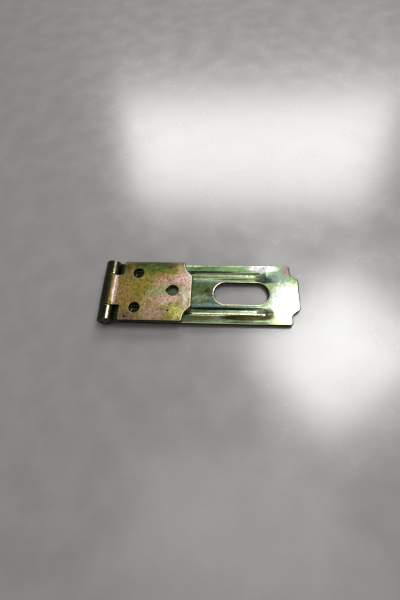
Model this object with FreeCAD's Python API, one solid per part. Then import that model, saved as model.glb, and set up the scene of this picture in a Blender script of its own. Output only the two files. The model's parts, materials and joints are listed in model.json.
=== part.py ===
"""Pressed-steel safety hasp, folded shut: fixing leaf, slotted strap and hinge pin.

The frame's origin is on the fixing leaf's mounting face, midway between the two
screw holes beside the hinge. +X points to the strap's free end, +Y lies along the
hinge pin, and +Z points out of the mounting face. Lengths are in millimetres.
"""
import FreeCAD, Part
import math
import os

Vector = FreeCAD.Vector

# Sheet and overall size
SHEET = 2.0                  # thickness of both pressed plates
WIDTH = 36.5                 # width of leaf and strap, and length of the barrel
EDGE_ROUND = 0.8             # rounding left on the blanked edges by tumbling

# Distances along the hasp, measured from the hinge pin's axis
PIN_TO_SCREW_PAIR = 15.9
PIN_TO_END_SCREW = 36.2
PIN_TO_LEAF_END = 46.9
PIN_TO_LEAF_SHOULDER = 42.2  # where the leaf's scooped corners reach its sides
PIN_TO_SLOT_CENTRE = 73.95
PIN_TO_STRAP_SHOULDER = 101.2
PIN_TO_STRAP_END = 105.6
PIN_TO_RIB_START = 12.0
PIN_TO_RIB_END = 87.0

# Hinge
PIN_R = 2.5
RUNNING_CLEARANCE = 0.08     # radial, between the pin and the leaf's knuckle
MIDDLE_KNUCKLE = 18.7        # length of the leaf's knuckle
KNUCKLE_GAP = 0.25
NOTCH_REACH = 7.3            # how far the plates are cut back to clear the other knuckles
BEND_R = 2.4                 # mid-sheet radius of the bend between plate and knuckle
LIP_GAP = 0.6                # between the end of each curl and the plate it comes back to

# Heights: the mounting face is at zero
FOLD_GAP = 0.6               # between the folded leaf and strap
PIN_BELOW_STRAP_TOP = 0.7    # pin's axis below the strap's upper face

# Holes
SCREW_PITCH = 21.2
SCREW_HOLE_R = 3.0
END_HOLE_R = 3.25
SLOT_LENGTH = 29.7
SLOT_WIDTH = 12.7

# Stiffening ribs beside the slot: grooves in the upper face, beads on the lower face
RIB_OFFSET = 10.8            # middle of each rib from the centre line
RIB_DEPTH = 1.2
GROOVE_TOP_R = 2.35          # half widths of the groove and of the bead under it
GROOVE_FLOOR_R = 1.5
BEAD_ROOT_R = 3.0
BEAD_CREST_R = 2.1

# Places worked out from the sizes above
PIN_X = -PIN_TO_SCREW_PAIR
LEAF_TOP = 0.0
STRAP_TOP = LEAF_TOP - SHEET - FOLD_GAP
PIN_Z = STRAP_TOP - PIN_BELOW_STRAP_TOP
HALF_WIDTH = WIDTH / 2
OVERLAP = 1.0                # how far solids reach into each other before fusing


def point(x_from_pin, y, z=0.0):
    """A point given by its distance from the pin's axis, across and height."""
    return Vector(PIN_X + x_from_pin, y, z)


def mirrored_outline(right_side, start_x):
    """Closed wire from a list of edges on the +Y side, run from side to end.

    Each entry is (end point) for a line or (middle point, end point) for an arc,
    as (x from pin, y). The -Y side is the same list mirrored.
    """
    corner = (start_x, HALF_WIDTH)
    forward = []
    place = corner
    for step in right_side:
        forward.append((place, step))
        place = step[-1]
    edges = [Part.LineSegment(point(start_x, -HALF_WIDTH), point(*corner)).toShape()]
    for begin, step in forward:
        edges.append(outline_edge(begin, step, 1))
    tip_y = place[1]
    edges.append(Part.LineSegment(point(place[0], tip_y), point(place[0], -tip_y)).toShape())
    for begin, step in reversed(forward):
        edges.append(outline_edge(begin, step, -1))
    return Part.Wire(Part.__sortEdges__(edges))


def outline_edge(begin, step, side):
    """One line or arc of an outline, on the +Y side or mirrored to the -Y side."""
    points = [point(x, side * y) for x, y in (begin,) + step]
    if len(points) == 2:
        return Part.LineSegment(*points).toShape()
    return Part.Arc(*points).toShape()


def plate(outline, top):
    """Flat sheet under the height `top`, cut to an outline."""
    sheet = Part.Face(outline).extrude(Vector(0, 0, -SHEET))
    sheet.translate(Vector(0, 0, top))
    return sheet


def obround(x_start, x_end, y, radius, z):
    """Closed wire with straight sides and round ends, along X."""
    left = x_start + radius
    right = x_end - radius
    low = y - radius
    high = y + radius
    edges = [
        Part.LineSegment(point(left, low, z), point(right, low, z)).toShape(),
        Part.Arc(point(right, low, z), point(x_end, y, z), point(right, high, z)).toShape(),
        Part.LineSegment(point(right, high, z), point(left, high, z)).toShape(),
        Part.Arc(point(left, high, z), point(x_start, y, z), point(left, low, z)).toShape(),
    ]
    return Part.Wire(edges)


def tapered_obround(y, low_z, low_r, high_z, high_r):
    """Solid between two obrounds of different half widths, one above the other."""
    middle_start = PIN_TO_RIB_START + GROOVE_TOP_R
    middle_end = PIN_TO_RIB_END - GROOVE_TOP_R
    rings = [
        obround(middle_start - radius, middle_end + radius, y, radius, z)
        for z, radius in ((low_z, low_r), (high_z, high_r))
    ]
    return Part.makeLoft(rings, True, True)


def knuckle(plate_middle_z, bore_r, y_start, y_end):
    """Curled knuckle with the bend that leads into its plate, between two Y planes.

    The plate lies above the pin's axis when plate_middle_z is higher than PIN_Z, and
    the sheet then curls over the top of the pin. Otherwise it curls the other way.
    """
    side = 1 if plate_middle_z > PIN_Z else -1
    rise = abs(plate_middle_z - PIN_Z)
    middle_r = bore_r + SHEET / 2
    outer_r = bore_r + SHEET
    bend_x = math.sqrt((BEND_R + middle_r) ** 2 - (BEND_R + rise) ** 2)
    meet = math.atan2(BEND_R + rise, bend_x)
    stop = 2 * math.pi + math.asin((rise - SHEET / 2 - LIP_GAP) / outer_r)

    def place(x, height):
        return point(x, y_start, PIN_Z + side * height)

    def around_pin(radius, angle):
        return place(radius * math.cos(angle), radius * math.sin(angle))

    def around_bend(radius, angle):
        return place(bend_x - radius * math.cos(angle), BEND_R + rise - radius * math.sin(angle))

    near_r = BEND_R - SHEET / 2
    far_r = BEND_R + SHEET / 2
    half_bend = (meet + math.pi / 2) / 2
    half_curl = (meet + stop) / 2
    plate_end = NOTCH_REACH + OVERLAP
    high = rise + SHEET / 2
    low = rise - SHEET / 2
    edges = [
        Part.LineSegment(place(plate_end, high), place(bend_x, high)).toShape(),
        Part.Arc(place(bend_x, high), around_bend(near_r, half_bend),
                 around_pin(outer_r, meet)).toShape(),
        Part.Arc(around_pin(outer_r, meet), around_pin(outer_r, half_curl),
                 around_pin(outer_r, stop)).toShape(),
        Part.LineSegment(around_pin(outer_r, stop), around_pin(bore_r, stop)).toShape(),
        Part.Arc(around_pin(bore_r, stop), around_pin(bore_r, half_curl),
                 around_pin(bore_r, meet)).toShape(),
        Part.Arc(around_pin(bore_r, meet), around_bend(far_r, half_bend),
                 place(bend_x, low)).toShape(),
        Part.LineSegment(place(bend_x, low), place(plate_end, low)).toShape(),
        Part.LineSegment(place(plate_end, low), place(plate_end, high)).toShape(),
    ]
    return Part.Face(Part.Wire(edges)).extrude(Vector(0, y_end - y_start, 0))


def drill(shape, x_from_pin, y, radius):
    """Round hole straight through the sheet."""
    depth = 4 * SHEET
    tool = Part.makeCylinder(radius, depth, point(x_from_pin, y, LEAF_TOP - depth / 2))
    return shape.cut(tool)


def soften(sheet, top):
    """Round the blanked edges of a flat sheet, but not its screw holes or hinge end."""
    def wanted(edge):
        box = edge.BoundBox
        on_a_face = any(abs(box.ZMin - z) + abs(box.ZMax - z) < 1e-3 for z in (top, top - SHEET))
        past_hinge = box.XMin > PIN_X + NOTCH_REACH + 0.01
        screw_hole = edge.Closed
        return on_a_face and past_hinge and not screw_hole

    return sheet.makeFillet(EDGE_ROUND, [edge for edge in sheet.Edges if wanted(edge)])


def make_leaf():
    """Fixing leaf: three screw holes, scooped corners and the middle knuckle."""
    scooped_corner = [
        ((PIN_TO_LEAF_SHOULDER, HALF_WIDTH),),
        ((PIN_TO_LEAF_SHOULDER, 17.0),),
        ((43.1, 13.6), (45.1, 11.2)),
        ((46.4, 9.6), (PIN_TO_LEAF_END, 7.5)),
    ]
    leaf = plate(mirrored_outline(scooped_corner, NOTCH_REACH), LEAF_TOP)
    for side in (-1, 1):
        leaf = drill(leaf, PIN_TO_SCREW_PAIR, side * SCREW_PITCH / 2, SCREW_HOLE_R)
    leaf = soften(drill(leaf, PIN_TO_END_SCREW, 0, END_HOLE_R), LEAF_TOP)
    curl = knuckle(LEAF_TOP - SHEET / 2, PIN_R + RUNNING_CLEARANCE,
                   -MIDDLE_KNUCKLE / 2, MIDDLE_KNUCKLE / 2)
    return leaf.fuse(curl).removeSplitter()


def make_strap():
    """Strap: slot for the staple, two stiffening ribs, stepped end, outer knuckles."""
    stepped_end = [
        ((PIN_TO_STRAP_SHOULDER, HALF_WIDTH),),
        ((PIN_TO_STRAP_SHOULDER, 14.2),),
        ((101.9, 12.0), (103.6, 10.5)),
        ((105.0, 9.2), (PIN_TO_STRAP_END, 7.2)),
    ]
    strap = plate(mirrored_outline(stepped_end, NOTCH_REACH), STRAP_TOP)
    slot = Part.Face(obround(PIN_TO_SLOT_CENTRE - SLOT_LENGTH / 2,
                             PIN_TO_SLOT_CENTRE + SLOT_LENGTH / 2,
                             0, SLOT_WIDTH / 2, STRAP_TOP + OVERLAP))
    strap = soften(strap.cut(slot.extrude(Vector(0, 0, -SHEET - 2 * OVERLAP))), STRAP_TOP)
    bottom = STRAP_TOP - SHEET
    for side in (-1, 1):
        y = side * RIB_OFFSET
        bead = tapered_obround(y, bottom - RIB_DEPTH, BEAD_CREST_R, bottom, BEAD_ROOT_R)
        groove = tapered_obround(y, STRAP_TOP - RIB_DEPTH, GROOVE_FLOOR_R,
                                 STRAP_TOP, GROOVE_TOP_R)
        strap = strap.fuse(bead).cut(groove)
    curl_start = MIDDLE_KNUCKLE / 2 + KNUCKLE_GAP
    for y_start, y_end in ((curl_start, HALF_WIDTH), (-HALF_WIDTH, -curl_start)):
        strap = strap.fuse(knuckle(STRAP_TOP - SHEET / 2, PIN_R, y_start, y_end))
    return strap.removeSplitter()


def make_pin():
    """Plain hinge pin with rounded ends, gripped by the strap's two knuckles."""
    end_round = 0.7
    recess = 0.3
    length = WIDTH - 2 * recess
    pin = Part.makeCylinder(PIN_R, length, point(0, -length / 2, PIN_Z), Vector(0, 1, 0))
    return pin.makeFillet(end_round, [edge for edge in pin.Edges if edge.Closed])


def main():
    os.makedirs("parts", exist_ok=True)
    nodes = {
        "fixing_leaf": make_leaf(),
        "hasp_strap": make_strap(),
        "hinge_pin": make_pin(),
    }
    for name, shape in nodes.items():
        box = shape.BoundBox
        print(name, "valid" if shape.isValid() else "NOT VALID", len(shape.Solids), "solid",
              "volume", round(shape.Volume, 1), "size",
              [round(v, 2) for v in (box.XLength, box.YLength, box.ZLength)])
        shape.exportStep("parts/" + name + ".step")


main()
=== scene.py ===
"""Safety hasp in yellow-green chromated zinc, folded shut and lying on its face.

The fixing leaf and the strap are made as flat blanks with rounded edges, pressed by a
relief function and then curled round the hinge pin. Shapes are worked out in
millimetres from the frame's own sizes and turned into metres when a mesh is made.
In them x is measured from the pin, y from the middle of the hasp, and a height from
the middle of the sheet.
"""
import json
import math

import bmesh
import bpy
import numpy as np
from mathutils import Matrix, Vector
from mathutils.geometry import delaunay_2d_cdt


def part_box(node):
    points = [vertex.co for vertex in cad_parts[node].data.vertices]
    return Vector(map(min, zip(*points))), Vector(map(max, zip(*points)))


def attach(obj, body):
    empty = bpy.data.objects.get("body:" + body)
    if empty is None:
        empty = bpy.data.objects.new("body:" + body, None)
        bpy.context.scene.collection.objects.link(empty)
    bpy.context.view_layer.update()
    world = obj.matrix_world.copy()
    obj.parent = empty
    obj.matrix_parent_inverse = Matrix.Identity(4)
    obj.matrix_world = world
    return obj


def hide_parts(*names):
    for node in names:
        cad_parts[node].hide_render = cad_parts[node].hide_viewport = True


MM = 0.001

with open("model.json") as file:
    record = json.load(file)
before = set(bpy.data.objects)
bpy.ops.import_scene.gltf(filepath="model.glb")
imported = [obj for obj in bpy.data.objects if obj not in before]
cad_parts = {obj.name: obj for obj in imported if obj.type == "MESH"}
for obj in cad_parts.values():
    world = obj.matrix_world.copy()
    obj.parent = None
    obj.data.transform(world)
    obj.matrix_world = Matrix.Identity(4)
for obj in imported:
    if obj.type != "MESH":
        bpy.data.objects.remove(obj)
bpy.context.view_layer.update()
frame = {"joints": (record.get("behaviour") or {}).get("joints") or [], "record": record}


# ---------------------------------------------------------------- sizes, in millimetres

def corners_mm(node):
    """Lowest and highest corner of a CAD node, in millimetres."""
    low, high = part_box(node)
    return Vector(low) / MM, Vector(high) / MM


MOUNTS = {mount["name"]: mount for mount in frame["record"]["mounts"]}
HINGE = frame["joints"][0]
PIN_X = HINGE["pos_m"][0] / MM
PIN_Z = HINGE["pos_m"][2] / MM
LEAF_HIGH = corners_mm("fixing_leaf")[1]
STRAP_LOW, STRAP_HIGH = corners_mm("hasp_strap")
PIN_LOW, PIN_HIGH = corners_mm("hinge_pin")

HALF_WIDTH = STRAP_HIGH.y
SHEET = MOUNTS["end_screw"]["dims"]["length_mm"]
PIN_R = (PIN_HIGH.z - PIN_LOW.z) / 2
LEAF_END = LEAF_HIGH.x - PIN_X
STRAP_END = STRAP_HIGH.x - PIN_X
LEAF_MIDDLE_Z = MOUNTS["mounting_face"]["pos_m"][2] / MM - SHEET / 2
STRAP_MIDDLE_Z = MOUNTS["staple_slot"]["pos_m"][2] / MM
SCREWS_X = MOUNTS["screw_pair"]["pos_m"][0] / MM - PIN_X
SCREW_Y = MOUNTS["screw_pair"]["dims"]["spacing_y_mm"] / 2
SCREW_R = MOUNTS["screw_pair"]["dims"]["hole_r_mm"]
END_SCREW_X = MOUNTS["end_screw"]["pos_m"][0] / MM - PIN_X
END_SCREW_R = MOUNTS["end_screw"]["dims"]["r_mm"]
SLOT_X = MOUNTS["staple_slot"]["pos_m"][0] / MM - PIN_X

LEAF_BORE_R = PIN_R + 0.08   # the leaf's knuckle runs freely on the pin
BEND_R = 2.4                 # bend between a plate and its curl, at the sheet's middle
LIP_GAP = 0.6                # between the end of each curl and its own plate
NOTCH = 7.3                  # each plate is cut back to here for the other's knuckles
MIDDLE_KNUCKLE = 9.35        # half length of the leaf's knuckle
OUTER_KNUCKLE = 9.6          # where the strap's knuckles start
SHOULDER = 101.2             # where the strap's end steps in
SLOT_HALF_LENGTH = 14.85
SLOT_HALF_WIDTH = 6.35
RIB_Y = 10.8                 # middle line of each rib
RIB_START = 12.0
RIB_END = 87.0
RIB_DEPTH = 1.2
GROOVE = (0.9, 2.6)          # half widths of a rib's floor and mouth in the upper face
BEAD = (1.4, 3.3)            # half widths of its crest and foot in the lower face
STRIP_START = 12.6           # the strips outside the ribs lean outward from here
STRIP_FALL = 0.42            # and are this much lower at the edge

EDGE_ROUND = 0.8             # rounding of the blanked edges
KNUCKLE_ROUND = 0.4
HOLE_ROUND = 0.35
HOLE_ZONE = 1.5              # an edge nearer than this to a screw hole is the hole's own
EDGE_ANGLES = (0, 22, 42, 60, 75, 90)  # degrees round the edge, from wall to face
POINT_STEP = 0.5             # spacing of mesh points along straight outlines and inside
CURL_STEP = 0.3              # the same inside the curl
ARC_STEP = 0.25              # the same round the outline's corners
EDGE_GAP = 0.3               # inner points stay this far from the rounded edges


# ---------------------------------------------------------------- small helpers

def spaced(start, stop, step):
    """Evenly spaced values with about this step, both ends included."""
    return list(np.linspace(start, stop, max(2, round((stop - start) / step) + 1)))


def smooth(low, high, value):
    """Smooth step from 0 at low to 1 at high."""
    t = min(1.0, max(0.0, (value - low) / (high - low)))
    return t * t * (3 - 2 * t)


def placed(name, data):
    """A mesh, light or camera as an object of the scene."""
    made = bpy.data.objects.new(name, data)
    bpy.context.scene.collection.objects.link(made)
    return made


def finished_mesh(name, verts, faces, weld=0.0):
    """Smooth-shaded mesh from points in millimetres, with its faces turned outward.

    Points nearer to each other than weld, in metres, are joined.
    """
    mesh = bpy.data.meshes.new(name)
    mesh.from_pydata([Vector(v) * MM for v in verts], [], faces)
    work = bmesh.new()
    work.from_mesh(mesh)
    if weld:
        bmesh.ops.remove_doubles(work, verts=work.verts, dist=weld)
    bmesh.ops.recalc_face_normals(work, faces=work.faces)
    work.to_mesh(mesh)
    work.free()
    mesh.polygons.foreach_set("use_smooth", [True] * len(mesh.polygons))
    return mesh


# ---------------------------------------------------------------- outlines

def rounded_loop(corners):
    """Closed list of points through (x, y, radius) corners, with arcs at the corners."""
    points = []
    count = len(corners)
    for i, (x, y, radius) in enumerate(corners):
        here = Vector((x, y))
        before = Vector(corners[i - 1][:2])
        after = Vector(corners[(i + 1) % count][:2])
        back = (before - here).normalized()
        ahead = (after - here).normalized()
        half = back.angle(ahead) / 2
        reach = radius / math.tan(half)
        centre = here + (back + ahead).normalized() * (radius / math.sin(half))
        start = here + back * reach - centre
        turn = math.pi - 2 * half
        steps = max(3, int(turn * radius / ARC_STEP))
        side = 1 if back.cross(ahead) < 0 else -1
        for k in range(steps + 1):
            angle = side * turn * k / steps
            spun = Vector((start.x * math.cos(angle) - start.y * math.sin(angle),
                           start.x * math.sin(angle) + start.y * math.cos(angle)))
            points.append(centre + spun)
    return subdivided(points)


def subdivided(points):
    """The same loop with extra points wherever two neighbours are far apart."""
    full = []
    for i, here in enumerate(points):
        after = points[(i + 1) % len(points)]
        parts = max(1, round((after - here).length / POINT_STEP))
        full += [here.lerp(after, k / parts) for k in range(parts)]
    return full


def round_hole(x, y, radius, bump=lambda angle: 0.0, parts=56):
    """Closed loop round a hole. `bump` adds to the radius at an angle."""
    loop = []
    for k in range(parts):
        angle = 2 * math.pi * k / parts
        reach = radius + bump(angle)
        loop.append(Vector((x + reach * math.cos(angle), y + reach * math.sin(angle))))
    return loop


def mirrored(side):
    """Corners given for +Y only, walked from the hinge to the end, closed over -Y."""
    return [(x, -y, r) for x, y, r in side] + [(x, y, r) for x, y, r in reversed(side)]


# ---------------------------------------------------------------- pressed sheet

def edge_round(x, y):
    """Rounding of the blanked edges: small at the screw holes and round the knuckles."""
    to_hole = min(math.hypot(x - SCREWS_X, abs(y) - SCREW_Y) - SCREW_R,
                  math.hypot(x - END_SCREW_X, y) - END_SCREW_R)
    if to_hole < HOLE_ZONE:
        return HOLE_ROUND
    return KNUCKLE_ROUND + (EDGE_ROUND - KNUCKLE_ROUND) * smooth(NOTCH, NOTCH + 4, x)


def inset(loop, part):
    """The loop moved into the metal by a part of the edge's rounding.

    Metal is on the left of the loop's walk.
    """
    moved = []
    count = len(loop)
    for i, here in enumerate(loop):
        a = (here - loop[i - 1]).normalized()
        b = (loop[(i + 1) % count] - here).normalized()
        left_a = Vector((-a.y, a.x))
        left_b = Vector((-b.y, b.x))
        bisector = (left_a + left_b).normalized()
        distance = part * edge_round(here.x, here.y)
        moved.append(here + bisector * (distance / max(0.5, bisector.dot(left_a))))
    return moved


def inside(points, loop):
    """For each point, whether it lies within the loop (numpy even-odd test)."""
    ring = np.array([tuple(p) for p in loop])
    after = np.roll(ring, -1, axis=0)
    result = np.zeros(len(points), bool)
    for (x0, y0), (x1, y1) in zip(ring, after):
        if y0 == y1:
            continue
        crosses = (y0 > points[:, 1]) != (y1 > points[:, 1])
        at = x0 + (points[:, 1] - y0) * (x1 - x0) / (y1 - y0)
        result ^= crosses & (points[:, 0] < at)
    return result


def on_sheet(points, loops):
    """For each point, whether it lies within the first loop and in none of the others."""
    result = inside(points, loops[0])
    for hole in loops[1:]:
        result &= ~inside(points, hole)
    return result


def distance_to(points, loop):
    """Shortest distance from each point to the loop's points."""
    ring = np.array([tuple(p) for p in loop])
    best = np.full(len(points), 1e9)
    for x, y in ring:
        best = np.minimum(best, np.hypot(points[:, 0] - x, points[:, 1] - y))
    return best


def sheet_mesh(name, outline, holes, xs, ys, extra, top, bottom, pit, curl):
    """Mesh of one pressed sheet with rounded edges.

    outline and holes are loops in the flat blank; xs and ys give the inner points;
    extra are more inner points; top and bottom give each face's height for a point of
    the blank; pit gives how worn the upper face is there, for its colour; curl turns
    (x, y, height) of the blank into a place in space.
    """
    loops = [outline] + [list(reversed(hole)) for hole in holes]
    angles = [math.radians(a) for a in EDGE_ANGLES]
    steps = [(1 - math.cos(a), 1 - math.sin(a)) for a in angles]
    flat = []                # points of the blank
    drop = []                # how far each lies below its face, in the rounded edge
    edge = []                # 1 on the blanked wall, 0 where the flat face starts
    rings = []               # for each loop, its rows of point numbers from wall to face
    for loop in loops:
        rows = []
        for reach, fall in steps:
            start = len(flat)
            flat += inset(loop, reach)
            drop += [fall * edge_round(place.x, place.y) for place in loop]
            edge += [1 - reach] * len(loop)
            rows.append(range(start, len(flat)))
        rings.append(rows)
    inner_loops = [[flat[i] for i in rows[-1]] for rows in rings]
    grid = np.array([(x, y) for x in xs for y in ys] + list(extra))
    keep = on_sheet(grid, inner_loops)
    for loop in inner_loops:
        keep &= distance_to(grid, loop) > EDGE_GAP
    grid = grid[keep]
    inner_start = len(flat)
    flat += [Vector(p) for p in grid]
    drop += [0.0] * len(grid)
    edge += [0.0] * len(grid)

    cdt_ids = [i for rows in rings for i in rows[-1]] + list(range(inner_start, len(flat)))
    local = {index: k for k, index in enumerate(cdt_ids)}
    fences = []
    for rows in rings:
        ring = list(rows[-1])
        fences += [(local[a], local[b]) for a, b in zip(ring, ring[1:] + ring[:1])]
    solved = delaunay_2d_cdt([flat[i] for i in cdt_ids], fences, [], 0, 1e-6)
    places, triangles, sources = solved[0], solved[2], solved[3]
    back_to = [cdt_ids[source[0]] for source in sources]
    centres = np.array([tuple(sum((places[i] for i in t), Vector((0, 0))) / 3)
                        for t in triangles])
    # Known fault: on the strap some of the wanted triangles have no area in the blank.
    # The curl turns them into stray faces across its outer ends.
    wanted = on_sheet(centres, inner_loops)
    faces = [tuple(back_to[i] for i in t) for t, ok in zip(triangles, wanted) if ok]
    for rows in rings:
        for low, high in zip(rows, rows[1:]):
            low, high = list(low), list(high)
            for k in range(len(low)):
                after = (k + 1) % len(low)
                faces.append((low[k], low[after], high[after], high[k]))

    count = len(flat)
    verts = []
    for face_height, sign in ((top, -1), (bottom, 1)):
        for p, fall in zip(flat, drop):
            verts.append(curl(p.x, p.y, face_height(p.x, p.y) + sign * fall))
    all_faces = faces + [tuple(reversed([i + count for i in face])) for face in faces]
    for rows in rings:
        wall = list(rows[0])
        for k in range(len(wall)):
            a, b = wall[k], wall[(k + 1) % len(wall)]
            all_faces.append((a, a + count, b + count, b))
    mesh = finished_mesh(name, verts, all_faces)
    rim = mesh.attributes.new("rim", "FLOAT", "POINT")
    rim.data.foreach_set("value", edge * 2)
    pitted = mesh.attributes.new("pitted", "FLOAT", "POINT")
    pitted.data.foreach_set("value", [pit(p.x, p.y) for p in flat] + [0.0] * count)
    return placed(name, mesh)


class Curl:
    """Bends the hinge end of a blank: straight plate, small bend, curl round the pin."""

    def __init__(self, middle_z, bore_r):
        self.side = 1 if middle_z > PIN_Z else -1
        self.rise = abs(middle_z - PIN_Z)
        self.curl_r = bore_r + SHEET / 2
        self.bend_x = math.sqrt((BEND_R + self.curl_r) ** 2 - (BEND_R + self.rise) ** 2)
        self.meet = math.atan2(BEND_R + self.rise, self.bend_x)
        self.bend_turn = math.pi / 2 - self.meet
        self.curl_x = self.bend_x - BEND_R * self.bend_turn
        stop = 2 * math.pi + math.asin((self.rise - SHEET / 2 - LIP_GAP) / (bore_r + SHEET))
        self.blank_start = self.curl_x - (stop - self.meet) * self.curl_r

    def __call__(self, x, y, height):
        """height is measured upward from the middle of the sheet."""
        out = self.side * height
        if x >= self.bend_x:
            along, up = x, self.rise + out
        elif x >= self.curl_x:
            angle = (self.bend_x - x) / BEND_R
            reach = BEND_R - out
            along = self.bend_x - reach * math.sin(angle)
            up = self.rise + BEND_R - reach * math.cos(angle)
        else:
            angle = self.meet + (self.curl_x - x) / self.curl_r
            reach = self.curl_r + out
            along = reach * math.cos(angle)
            up = reach * math.sin(angle)
        return (PIN_X + along, y, PIN_Z + self.side * up)

    def points_along(self, end):
        """x of a blank's inner points, closer together in the curl than in the plate."""
        return (spaced(self.blank_start, NOTCH + 2, CURL_STEP)
                + spaced(NOTCH + 2.5, end, POINT_STEP))


# ---------------------------------------------------------------- the two sheets

# Dents and pits in the leaf's upper face: x from the pin, y, radius, depth
PITS = [
    (30.6, -11.6, 0.6, 0.25), (34.2, -12.1, 0.95, 0.35), (32.4, 7.1, 0.65, 0.25),
    (20.2, -1.5, 0.5, 0.2), (32.3, -3.9, 0.5, 0.2), (10.9, -16.2, 1.1, 0.3),
    (26.4, -13.1, 0.35, 0.15), (23.4, 4.4, 0.35, 0.12), (37.9, 12.1, 0.35, 0.12),
]


def pit_depth(x, y):
    """How far the leaf's pits lower its face at this point."""
    total = 0.0
    for px, py, radius, depth in PITS:
        away = math.hypot(x - px, y - py) / radius
        total += depth * (1 - smooth(0.0, 1.0, away))
    return total


def ripple(x, y, size):
    """Slow waviness left by blanking and pressing."""
    return size * (math.sin(0.21 * x + 0.9) * math.cos(0.17 * y - 0.4)
                   + 0.6 * math.sin(0.37 * x - 0.23 * y + 2.0))


def leaf_top(x, y):
    """Upper face, kept just inside the sheet's thickness so that its ripple stays in it."""
    return SHEET / 2 - pit_depth(x, y) - 0.015 + ripple(x, y, 0.008)


def leaf_bottom(x, y):
    """Lower face, which is flat."""
    return -SHEET / 2


def make_leaf():
    """Fixing leaf: scooped corners, two round holes and a third with a torn point."""
    curl = Curl(LEAF_MIDDLE_Z, LEAF_BORE_R)
    side = [
        (curl.blank_start, MIDDLE_KNUCKLE, 0.5),
        (NOTCH, MIDDLE_KNUCKLE, 0.5),
        (NOTCH, HALF_WIDTH, 1.2),
        (42.2, HALF_WIDTH, 1.0),
        (43.0, 13.3, 7.0),
        (LEAF_END, 9.4, 1.6),
    ]
    outline = rounded_loop(mirrored(side))

    def torn(angle):
        """Point that sticks out of the end hole on its hinge side."""
        off = abs(angle - math.pi) / math.radians(32)
        return 0.95 * max(0.0, 1 - off) ** 1.4

    holes = [round_hole(SCREWS_X, sign * SCREW_Y, SCREW_R) for sign in (-1, 1)]
    holes.append(round_hole(END_SCREW_X, 0, END_SCREW_R, torn, 72))
    xs = curl.points_along(LEAF_END)
    ys = spaced(-HALF_WIDTH, HALF_WIDTH, POINT_STEP)
    extra = []
    for x, y, radius, _depth in PITS:
        for ring, parts in ((0.2, 6), (0.45, 10), (0.7, 14), (1.0, 18)):
            extra += [tuple(p) for p in round_hole(x, y, ring * radius, parts=parts)]
    return sheet_mesh("leaf_sheet", outline, holes, xs, ys, extra, leaf_top, leaf_bottom,
                      lambda x, y: min(1.0, 9 * pit_depth(x, y)), curl)


def rib_profile(x, y, floor, edge, start, end):
    """1 on the floor of a rib and 0 past its edge, running out gently at the far end."""
    off = abs(abs(y) - RIB_Y)
    past = max(start + edge - x, 0.0)
    run_out = 1 - smooth(end - 5, end + 1.2, x)
    return run_out * (1 - smooth(floor, edge, math.hypot(off, past)))


def edge_fall(x, y):
    """The strips outside the ribs lean outward a little."""
    along = smooth(RIB_START, RIB_START + 8, x) * (1 - smooth(RIB_END - 4, RIB_END + 4, x))
    outside = max(0.0, (abs(y) - STRIP_START) / (HALF_WIDTH - STRIP_START))
    return STRIP_FALL * along * outside


def strap_top(x, y):
    """Upper face, with the ribs as grooves."""
    groove = RIB_DEPTH * rib_profile(x, y, *GROOVE, RIB_START, RIB_END)
    return SHEET / 2 - groove - edge_fall(x, y) - 0.01 + ripple(x, y, 0.006)


def strap_bottom(x, y):
    """Lower face, with the ribs as beads."""
    bead = RIB_DEPTH * rib_profile(x, y, *BEAD, RIB_START - 0.6, RIB_END + 0.6)
    return -SHEET / 2 - bead - edge_fall(x, y)


def make_strap():
    """Strap: two outer knuckles, ribs, slot and stepped end."""
    curl = Curl(STRAP_MIDDLE_Z, PIN_R)
    side = [
        (NOTCH, OUTER_KNUCKLE, 0.5),
        (curl.blank_start, OUTER_KNUCKLE, 0.5),
        (curl.blank_start, HALF_WIDTH, 0.5),
        (SHOULDER, HALF_WIDTH, 1.8),
        (SHOULDER, 12.4, 2.4),
        (STRAP_END, 9.0, 2.2),
    ]
    outline = rounded_loop(mirrored(side))
    for place in outline:    # small dent in the far edge, before the shoulder
        if place.y > HALF_WIDTH - 0.01:
            place.y -= 0.4 * max(0.0, 1 - abs(place.x - 98.3) / 1.3)
    slot = rounded_loop([
        (SLOT_X + a * SLOT_HALF_LENGTH, b * SLOT_HALF_WIDTH, SLOT_HALF_WIDTH - 0.01)
        for a, b in ((-1, -1), (1, -1), (1, 1), (-1, 1))
    ])
    xs = curl.points_along(STRAP_END)
    across = spaced(0, 6.9, 0.55) + spaced(7.15, 13.1, 0.25) + spaced(13.5, HALF_WIDTH, 0.5)
    ys = [-y for y in reversed(across[1:])] + across
    return sheet_mesh("strap_sheet", outline, [slot], xs, ys, [], strap_top, strap_bottom,
                      lambda x, y: 0.0, curl)


def make_pin():
    """Hinge pin with rounded ends, each with the shallow dimple of a centre punch."""
    half = (PIN_HIGH.y - PIN_LOW.y) / 2
    radius = PIN_R - 0.01
    rounding = 0.6
    # radius and height past the end's plane, from the middle of the dimple outward
    end = [(0.0, -0.45), (0.25, -0.40), (0.55, -0.16), (0.8, -0.03), (1.2, 0.0)]
    end += [(radius - rounding + rounding * math.sin(a), rounding * math.cos(a) - rounding)
            for a in np.linspace(0, math.pi / 2, 7)]
    profile = [(r, -half - fall) for r, fall in end]
    profile += [(radius, y) for y in np.linspace(-half + 1.5, half - 1.5, 24)]
    profile += [(r, half + fall) for r, fall in reversed(end)]
    parts = 48
    verts = []
    for r, y in profile:
        for k in range(parts):
            angle = 2 * math.pi * k / parts
            verts.append((PIN_X + r * math.cos(angle), y, PIN_Z + r * math.sin(angle)))
    faces = []
    for row in range(len(profile) - 1):
        for k in range(parts):
            after = (k + 1) % parts
            a, b = row * parts, (row + 1) * parts
            faces.append((a + k, a + after, b + after, b + k))
    return placed("pin_shank", finished_mesh("pin_shank", verts, faces, weld=1e-6))


# ---------------------------------------------------------------- materials

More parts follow.
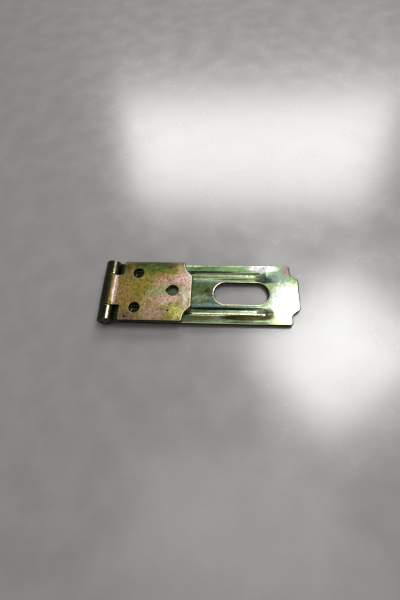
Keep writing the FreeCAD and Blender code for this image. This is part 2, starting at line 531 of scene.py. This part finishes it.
def colour(red, green, blue):
    """Linear colour from screen values of 0 to 255."""
    parts = [c / 255 for c in (red, green, blue)]
    linear = [c / 12.92 if c <= 0.04045 else ((c + 0.055) / 1.055) ** 2.4 for c in parts]
    return (*linear, 1.0)


class Shader:
    """A node material, with short calls for the nodes that it uses."""

    def __init__(self, name):
        self.material = bpy.data.materials.new(name)
        self.material.use_nodes = True
        self.tree = self.material.node_tree
        self.main = self.tree.nodes["Principled BSDF"]

    def node(self, kind, inputs=None, **settings):
        """Adds a node. inputs maps a socket's name or number to a value or a socket."""
        made = self.tree.nodes.new(kind)
        for key, value in settings.items():
            setattr(made, key, value)
        for key, value in (inputs or {}).items():
            if isinstance(value, bpy.types.NodeSocket):
                self.tree.links.new(value, made.inputs[key])
            else:
                made.inputs[key].default_value = value
        return made

    def math(self, operation, a, b=0.0, clamp=False):
        """Result of a sum on two values or sockets."""
        return self.node("ShaderNodeMath", {0: a, 1: b}, operation=operation,
                         use_clamp=clamp).outputs[0]

    def vector(self, operation, a, b):
        """Result of a sum on two vectors or sockets."""
        return self.node("ShaderNodeVectorMath", {0: a, 1: b},
                         operation=operation).outputs[0]

    def length(self, a):
        """Length of a vector."""
        return self.node("ShaderNodeVectorMath", {0: a},
                         operation="LENGTH").outputs["Value"]

    def noise(self, where, scale, detail=2.0, rough=0.5, output="Fac"):
        """Noise at a place. Scales are in waves per unit of that place."""
        inputs = {"Vector": where, "Scale": scale, "Detail": detail, "Roughness": rough}
        return self.node("ShaderNodeTexNoise", inputs).outputs[output]

    def remap(self, value, low, high, to_low=0.0, to_high=1.0, smooth_step=True):
        """The value's range low to high turned into to_low to to_high, and held there."""
        kind = "SMOOTHSTEP" if smooth_step else "LINEAR"
        inputs = {0: value, 1: low, 2: high, 3: to_low, 4: to_high}
        return self.node("ShaderNodeMapRange", inputs, interpolation_type=kind).outputs[0]

    def mix(self, amount, a, b, blend="MIX"):
        """Colour a with this amount of colour b."""
        made = self.node("ShaderNodeMix", {0: amount, 6: a, 7: b}, data_type="RGBA",
                         blend_type=blend)
        return made.outputs[2]

    def patched(self, film, patches, where, full):
        """The film with oval patches mixed in.

        Each has its full strength up to this part of its reach, and fades from there.
        """
        for x, y, half_x, half_y, strength, tint in patches:
            offset = self.vector("SUBTRACT", where, (x, y, 0))
            scaled = self.vector("MULTIPLY", offset, (1 / half_x, 1 / half_y, 0))
            mask = self.remap(self.length(scaled), 1.0, full, 0.0, strength)
            film = self.mix(mask, film, tint)
        return film

    def link(self, value, socket):
        """Feeds one input of the surface."""
        self.tree.links.new(value, self.main.inputs[socket])


# The painted highlight along the rounded edges changes over these stretches
HINGE_PART = (38.0, 42.0)    # of x: weaker before it
FAR_EDGE = (16.6, 17.2)      # of y: nearly gone past it
FREE_END = (92.0, 96.0)      # of x: gone past it

# Noise that pulls the patches about: scale, reach in millimetres, detail
STIRRING = ((0.13, 9.0, 2.0), (0.5, 5.0, 3.0), (1.7, 2.0, 2.0))


def film_colour(shader, place, base, patches, spots, mottle, hinge_highlight_strength, hinge_shade):
    """Colour of the chromate film with its painted highlights and shade, and the fine noise
    that its grain shares.
    """
    moved = place
    for scale, reach, detail in STIRRING:
        push = shader.noise(place, scale, detail, output="Color")
        push = shader.vector("SUBTRACT", push, (0.5, 0.5, 0.5))
        push = shader.vector("MULTIPLY", push, (reach, reach, 0))
        moved = shader.vector("ADD", moved, push)
    film = shader.patched(base, patches, moved, 0.25)
    split = shader.node("ShaderNodeSeparateXYZ", {0: place})
    along = split.outputs["X"]
    across = split.outputs["Y"]
    # Painted shade towards the hinge, where the knuckles and the sheet under the leaf lie in
    # shade.
    if hinge_shade:
        dark_to, clear_from, dark = hinge_shade
        film = shader.mix(shader.remap(along, dark_to, clear_from, 0.95, 0.0), film, dark)
    film = shader.patched(film, spots, place, 0.55)

    blotches = shader.noise(place, 0.45, 5.0, 0.72)
    dots = shader.noise(place, 0.9, 3.0, 0.65)
    for value, low, high in ((blotches, 0.35, 0.65), (dots, 0.32, 0.62)):
        tone = shader.remap(value, low, high, 1 - mottle, 1 + 0.6 * mottle, False)
        grey = shader.node("ShaderNodeCombineColor", {0: tone, 1: tone, 2: tone}).outputs[0]
        film = shader.mix(1.0, film, grey, "MULTIPLY")
    specks = shader.remap(shader.noise(place, 1.4, 2.0), 0.58, 0.68, 0.0, 1.6 * mottle)
    film = shader.mix(specks, film, colour(58, 44, 30))
    pitted = shader.node("ShaderNodeAttribute", attribute_name="pitted").outputs["Fac"]
    film = shader.mix(shader.remap(pitted, 0.0, 1.0, 0.0, 0.95), film, colour(26, 20, 16))

    # Each rounded edge gets a painted highlight where it leaves the face, and painted shade
    # on the wall below that.
    rim = shader.node("ShaderNodeAttribute", attribute_name="rim").outputs["Fac"]
    bright_rim = shader.remap(rim, 0.0, 0.05, 0.0, 0.9)
    for where, stretch, before, past in ((along, HINGE_PART, hinge_highlight_strength, 1.0),
                                         (across, FAR_EDGE, 1.0, 0.1),
                                         (along, FREE_END, 1.0, 0.0)):
        bright_rim = shader.math("MULTIPLY", bright_rim, shader.remap(where, *stretch, before, past))
    film = shader.mix(bright_rim, film, colour(244, 234, 204))
    film = shader.mix(shader.remap(rim, 0.22, 0.40, 0.0, 0.97), film, colour(30, 27, 20))
    return film, dots


def chromate(name, base, patches, spots, metallic, roughness, mottle, grain, hinge_highlight_strength,
             hinge_shade=None):
    """Yellow chromate on zinc: clouds of film colour, mottling, specks, painted highlights
    and painted shade.

    patches are (x, y, half length, half width, strength, colour), with edges pulled
    about by noise. spots are the same, with plain soft edges. Some patches and spots are
    painted highlights and some are painted shade. mottle is the depth of the mottling,
    grain the strength of the surface's marks, and rub the strength of the painted
    highlight along the edges by the hinge. hinge_shade is (x up to which the film is
    darkened with painted shade, x where it no longer is, colour).
    """
    shader = Shader(name)
    place = shader.node("ShaderNodeTexCoord").outputs["Object"]
    place = shader.vector("MULTIPLY", place, (1 / MM, 1 / MM, 1 / MM))
    place = shader.vector("SUBTRACT", place, (PIN_X, 0, 0))
    film, dots = film_colour(shader, place, base, patches, spots, mottle, hinge_highlight_strength, hinge_shade)
    shader.link(film, "Base Color")
    shader.main.inputs["Metallic"].default_value = metallic
    strokes = shader.noise(shader.vector("MULTIPLY", place, (0.25, 2.6, 1.0)), 1.0, 3.0, 0.6)
    spread = shader.math("MULTIPLY", shader.math("SUBTRACT", strokes, 0.5), 0.4 * grain)
    shader.link(shader.math("ADD", spread, roughness, True), "Roughness")
    height = shader.math("ADD", shader.math("MULTIPLY", dots, 0.7),
                         shader.math("MULTIPLY", strokes, 0.3))
    bump = shader.node("ShaderNodeBump", {"Height": height, "Strength": grain,
                                          "Distance": 0.05 * MM})
    shader.link(bump.outputs["Normal"], "Normal")
    return shader.material


LEAF_PATCHES = [
    (10, -3, 6, 10, 0.8, colour(190, 142, 92)),       # copper behind the middle knuckle
    (10, 9, 5, 6, 0.7, colour(150, 124, 72)),
    (8, 14, 5, 5, 0.9, colour(92, 66, 34)),
    (24, 18, 24, 8, 0.98, colour(66, 78, 40)),        # dark green along the far edge
    (25, 12, 12, 5, 0.85, colour(88, 110, 44)),       # yellow-green past the far hole
    (32, 8, 8, 3, 0.8, colour(200, 144, 100)),        # copper diagonal
    (42, 13, 6, 6, 0.85, colour(206, 176, 140)),
    (41, 7, 10, 5, 0.9, colour(240, 192, 184)),       # pink by the free end
    (30, 4.5, 7, 3.5, 0.8, colour(216, 168, 144)),
    (26, 0, 6, 4, 0.75, colour(180, 192, 138)),       # grey-green up to the end hole
    (35, 0, 9, 5, 0.75, colour(200, 206, 166)),
    (25, -5, 8, 4, 0.75, colour(212, 172, 136)),
    (24, -10, 9, 3.5, 0.75, colour(214, 178, 136)),
    (34, -6, 10, 4.5, 0.85, colour(246, 204, 180)),   # pink below the end hole
    (13, -15, 8, 5, 0.85, colour(142, 110, 94)),      # mauve at the near hinge corner
    (27, -13.5, 10, 4.5, 0.9, colour(204, 164, 146)),
    (39.5, -13.5, 7, 5, 0.9, colour(224, 216, 124)),  # yellow at the near corner
    (44, -4, 4.5, 11, 0.85, colour(252, 232, 208)),   # cream at the free end
    (45, 7, 3, 7, 0.8, colour(248, 216, 198)),
]
LEAF_SPOTS = [
    (3.8, 0, 1.7, 13, 0.9, colour(250, 210, 204)),    # painted highlight on the crest of the knuckle
]
STRAP_PATCHES = [
    (51, 3.5, 6, 3.5, 0.85, colour(132, 178, 84)),    # green by the leaf
    (47, 0, 3.5, 3, 0.8, colour(190, 210, 150)),
    (56, 0, 4, 3, 0.9, colour(98, 90, 36)),           # olive-brown pool before the slot
    (52, -4, 8, 2.4, 0.9, colour(220, 246, 186)),
    (58, -4, 3, 3, 0.6, colour(160, 200, 200)),
    (56, 16, 16, 3, 0.85, colour(76, 102, 64)),       # darker by the leaf
    (68, 15, 20, 3, 0.6, colour(150, 190, 130)),
    (89.5, -11.6, 4.2, 5, 0.95, colour(40, 37, 12)),  # painted shade over dark olive film at the near rib's end
    (98, -4, 13, 14, 0.92, colour(253, 252, 244)),
]
STRAP_SPOTS = [
    (2.1, 0, 0.9, 60, 0.7, colour(206, 190, 160)),    # painted highlights on the crests of the knuckles
    (60, 7.4, 18, 1.2, 0.85, colour(214, 242, 208)),  # paler film beside the far rib, with a painted highlight
    (56, -7.2, 13, 1.1, 0.85, colour(196, 232, 230)),  # blue-grey beside the near rib
    # painted shade on the inner side of the near rib's groove
    (60, -9.2, 21, 1.0, 0.9, colour(24, 36, 28)),
    # painted highlight in the near rib's groove
    (72, -10.3, 22, 0.8, 0.7, colour(216, 236, 220)),
    # painted shade on the inner side of the far rib's groove
    (70, 9.0, 19, 1.1, 0.95, colour(26, 38, 28)),
    (66, 11.8, 26, 1.7, 0.95, colour(244, 254, 196)),  # painted highlight, yellow, along the outer side of the far rib's groove
    (68, -12.0, 28, 1.4, 0.9, colour(250, 248, 196)),  # and the same along the near rib's outer side
    (53, -14.6, 9, 1.6, 0.8, colour(150, 132, 74)),   # brown strip outside the near rib
    # brown film darkened with painted shade, where the near strip leans away from the light
    (76, -14.3, 18, 2.4, 0.97, colour(36, 29, 6)),
    # more painted shade at the near rib's end
    (89.3, -11.8, 2.8, 3.2, 0.8, colour(46, 42, 14)),
    # painted highlight where the near rib runs out
    (83.5, -10, 4, 1.5, 0.8, colour(240, 250, 230)),
    # painted shade along the near edge
    (77, -17.0, 13, 1.1, 0.9, colour(58, 66, 44)),
    # painted highlight along the near edge
    (55, -17.0, 12, 0.9, 0.8, colour(190, 220, 160)),
    # painted shade along the outer rim of the far rib's groove
    (56, 13.4, 20, 0.8, 0.9, colour(34, 46, 28)),
    (85.5, 12.2, 3.0, 1.6, 0.6, colour(196, 194, 214)),
    # painted shade at the far rib's end
    (86.5, 8.2, 6, 2.4, 0.92, colour(24, 32, 28)),
    (91, 9.5, 4, 3.5, 0.7, colour(56, 80, 72)),
    (95, 11, 6, 5, 0.5, colour(140, 160, 160)),
    (86, 15.8, 11, 2.6, 0.9, colour(250, 253, 250)),  # nearly bare along the far edge
    (100.5, 15.5, 4, 5, 0.8, colour(176, 140, 142)),  # pink at the far corner
]


def dress(piece, node, body, material):
    """A finished piece stands for its CAD node and moves with its body."""
    piece.data.materials.append(material)
    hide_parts(node)
    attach(piece, body)


leaf_finish = chromate("leaf_chromate", colour(160, 146, 62), LEAF_PATCHES, LEAF_SPOTS,
                       metallic=0.75, roughness=0.42, mottle=0.36, grain=0.5, hinge_highlight_strength=0.35,
                       # painted shade on the flank of the knuckle that faces away from the
                       # light
                       hinge_shade=(1.0, 3.2, colour(40, 35, 20)))
strap_finish = chromate("strap_chromate", colour(148, 170, 124), STRAP_PATCHES, STRAP_SPOTS,
                        metallic=0.95, roughness=0.20, mottle=0.20, grain=0.12, hinge_highlight_strength=0.3,
                        # painted shade on the knuckles and on the plate under the leaf, seen
                        # through its holes
                        hinge_shade=(20, 34, colour(66, 66, 42)))
pin_finish = chromate("pin_chromate", colour(96, 88, 56), [], [],
                      metallic=0.95, roughness=0.38, mottle=0.12, grain=0.4, hinge_highlight_strength=0.3)
dress(make_leaf(), "fixing_leaf", "leaf", leaf_finish)
dress(make_strap(), "hasp_strap", "strap", strap_finish)
dress(make_pin(), "hinge_pin", "strap", pin_finish)


# ---------------------------------------------------------------- floor, light and camera

def make_floor():
    """Pale table top, touching the barrel and the ribs' far ends."""
    barrel_bottom = STRAP_LOW.z
    bead_bottom = STRAP_MIDDLE_Z - SHEET / 2 - RIB_DEPTH
    slope = math.atan2(bead_bottom - barrel_bottom, RIB_END)
    bpy.ops.mesh.primitive_plane_add(size=6.0)
    floor = bpy.context.object
    floor.name = "table"
    floor.location = Vector((PIN_X, 0, barrel_bottom)) * MM
    floor.rotation_euler = (0, -slope, 0)
    shader = Shader("table_top")
    place = shader.node("ShaderNodeTexCoord").outputs["Object"]
    marks = shader.noise(place, 60.0, 4.0)
    tone = shader.remap(marks, 0.3, 0.7, 0.0, 1.0)
    shader.link(shader.mix(tone, colour(168, 164, 161), colour(176, 172, 168)), "Base Color")
    shader.link(shader.remap(marks, 0.3, 0.7, 0.22, 0.28), "Roughness")
    pimples = shader.noise(place, 900.0, 2.0)
    bump = shader.node("ShaderNodeBump", {"Height": pimples, "Strength": 0.25,
                                          "Distance": 0.1 * MM})
    shader.link(bump.outputs["Normal"], "Normal")
    for socket, value in (("Specular IOR Level", 1.0), ("Coat Weight", 0.8),
                          ("Coat Roughness", 0.22), ("Coat IOR", 1.7)):
        shader.main.inputs[socket].default_value = value
    floor.data.materials.append(shader.material)


def area_light(name, place, aim, width, depth, power):
    """Soft rectangular light at a place, aimed at a point. Both are in metres."""
    data = bpy.data.lights.new(name, "AREA")
    data.shape = "RECTANGLE"
    data.size = width
    data.size_y = depth
    data.energy = power
    light = placed(name, data)
    light.location = place
    light.rotation_euler = (Vector(aim) - Vector(place)).to_track_quat("-Z", "Y").to_euler()


def make_camera():
    """Camera above and slightly in front, near enough to show strong perspective."""
    # along from the pin, across from the middle, and up from the strap's upper face
    place = Vector((PIN_X + 63.84, -79.00, STRAP_MIDDLE_Z + SHEET / 2 + 161.87)) * MM
    aim = place + Vector((-0.0695, 0.4175, -0.9060))
    data = bpy.data.cameras.new("camera")
    data.lens = 19.5
    data.sensor_width = 36
    data.clip_start = 0.01
    camera = placed("camera", data)
    forward = (aim - place).normalized()
    level = forward.to_track_quat("-Z", "Y").to_matrix()
    roll = Matrix.Rotation(math.radians(-7.47), 3, "Z")
    camera.matrix_world = Matrix.Translation(place) @ (level @ roll).to_4x4()
    bpy.context.scene.camera = camera


# Name, place, aim, width, depth and power. Lengths are in metres.
LIGHTS = [
    ("key", (0.311, 0.180, 0.700), (0.085, 0.0, 0.0), 0.31, 0.34, 2.0),
    ("near_fill", (0.05, -0.22, 0.75), (0.05, 0.0, 0.0), 0.5, 0.3, 0.32),
    ("upper_fill", (0.166, 0.440, 0.700), (0.070, 0.016, 0.0), 0.08, 0.05, 0.070),
    ("far_fill", (0.10, 0.88, 0.68), (0.04, 0.0, 0.0), 0.9, 0.34, 4.3),
]

make_floor()
for light_sizes in LIGHTS:
    area_light(*light_sizes)
world = bpy.data.worlds.new("studio")
world.use_nodes = True
background = world.node_tree.nodes["Background"].inputs
background["Color"].default_value = (0.92, 0.95, 1.0, 1)
background["Strength"].default_value = 0.18
bpy.context.scene.world = world
bpy.context.scene.view_settings.view_transform = "Standard"
make_camera()
